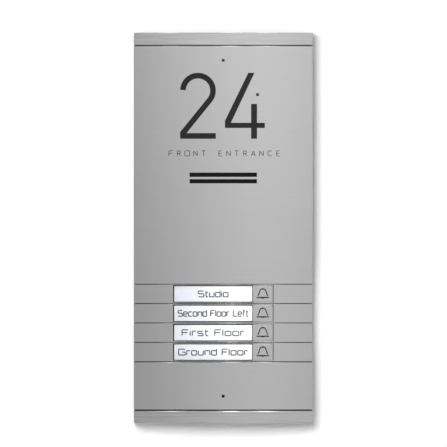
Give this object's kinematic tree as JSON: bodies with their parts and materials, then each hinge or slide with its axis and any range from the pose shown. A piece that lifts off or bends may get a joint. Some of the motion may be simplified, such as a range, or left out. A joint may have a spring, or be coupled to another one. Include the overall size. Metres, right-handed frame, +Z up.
{
  "type": "door intercom panel",
  "caption": "Wall-mounted door intercom with a curved brushed-steel front, house number, speaker slots, lit name windows and sprung bell buttons; the front tilts out from its wall tray.",
  "frame": {"origin": "middle of the back face, in the plane of the wall", "axes": "+X to the visitor's right, +Y into the wall, +Z up; the front faces -Y"},
  "size_m": [0.133, 0.03, 0.29],
  "materials": {
    "brushed_steel": "fine horizontal brushing, satin, edges polished",
    "zinc_steel": "zinc-plated, satin",
    "black_plastic": "moulded, fine texture",
    "satin_black": "satin",
    "rubber": "matt",
    "foam": "closed-cell foam, matt",
    "clear_acrylic": "clear, polished",
    "paper": "matt white print paper",
    "opal_acrylic": "opal, satin",
    "circuit_board": "green solder mask",
    "component_black": "moulded, matt",
    "component_blue": "moulded, satin",
    "capacitor_sleeve": "shrink sleeve, satin",
    "terminal_green": "moulded, satin",
    "ferrite": "ground ferrite, matt",
    "cone_paper": "black pulp"
  },
  "bodies": {
    "wall_base": {"back_tray": "black_plastic", "wall_gasket": "foam", "cable_grommet": "rubber", "hinge_rod": "zinc_steel"},
    "front_unit": {"carrier_frame": "black_plastic", "top_end_strip": "brushed_steel", "main_plate": "brushed_steel", "lower_plate": "brushed_steel", "bottom_end_strip": "brushed_steel", "number_inlay": "satin_black", "lock_screw_left": "zinc_steel", "lock_screw_right": "zinc_steel", "speaker_mesh": "component_black", "speaker_gasket": "foam", "speaker_basket": "zinc_steel", "speaker_cone": "cone_paper", "speaker_magnet": "ferrite", "speaker_clamp": "black_plastic", "clamp_screw_1": "zinc_steel", "clamp_screw_2": "zinc_steel", "microphone": "zinc_steel", "microphone_boot": "rubber", "sensor_board": "circuit_board", "light_sensor": "component_black", "status_led": "opal_acrylic", "sensor_light_pipe": "clear_acrylic", "led_light_pipe": "clear_acrylic", "main_board": "circuit_board", "amplifier_chip": "component_black", "supply_capacitor": "capacitor_sleeve", "door_relay": "component_blue", "terminal_block": "terminal_green", "main_board_screw_1": "zinc_steel", "main_board_screw_2": "zinc_steel", "key_frame": "black_plastic", "key_board": "circuit_board", "name_light_guide": "opal_acrylic", "backlight_led": "opal_acrylic", "key_board_screw_1": "zinc_steel", "key_board_screw_2": "zinc_steel", "row_bar_1": "brushed_steel", "name_window_1": "clear_acrylic", "name_card_1": "paper", "tact_switch_1": "component_black", "row_bar_2": "brushed_steel", "name_window_2": "clear_acrylic", "name_card_2": "paper", "tact_switch_2": "component_black", "row_bar_3": "brushed_steel", "name_window_3": "clear_acrylic", "name_card_3": "paper", "tact_switch_3": "component_black", "row_bar_4": "brushed_steel", "name_window_4": "clear_acrylic", "name_card_4": "paper", "tact_switch_4": "component_black"},
    "button_1": {"bell_button_1": "brushed_steel"},
    "button_2": {"bell_button_2": "brushed_steel"},
    "button_3": {"bell_button_3": "brushed_steel"},
    "button_4": {"bell_button_4": "brushed_steel"}
  },
  "joints": [
    {"name": "front_tilt", "type": "hinge", "parent": "wall_base", "child": "front_unit", "pos_m": [0, -0.0065, 0.1355], "axis": [-1, 0, 0], "range_deg": [0, 20]},
    {"name": "button_1_press", "type": "slide", "parent": "front_unit", "child": "button_1", "axis": [0, 1, 0], "range_m": [0, 0.0008], "stiffness_N_per_m": 1000, "springref_m": -0.002},
    {"name": "button_2_press", "type": "slide", "parent": "front_unit", "child": "button_2", "axis": [0, 1, 0], "range_m": [0, 0.0008], "stiffness_N_per_m": 1000, "springref_m": -0.002},
    {"name": "button_3_press", "type": "slide", "parent": "front_unit", "child": "button_3", "axis": [0, 1, 0], "range_m": [0, 0.0008], "stiffness_N_per_m": 1000, "springref_m": -0.002},
    {"name": "button_4_press", "type": "slide", "parent": "front_unit", "child": "button_4", "axis": [0, 1, 0], "range_m": [0, 0.0008], "stiffness_N_per_m": 1000, "springref_m": -0.002}
  ]
}
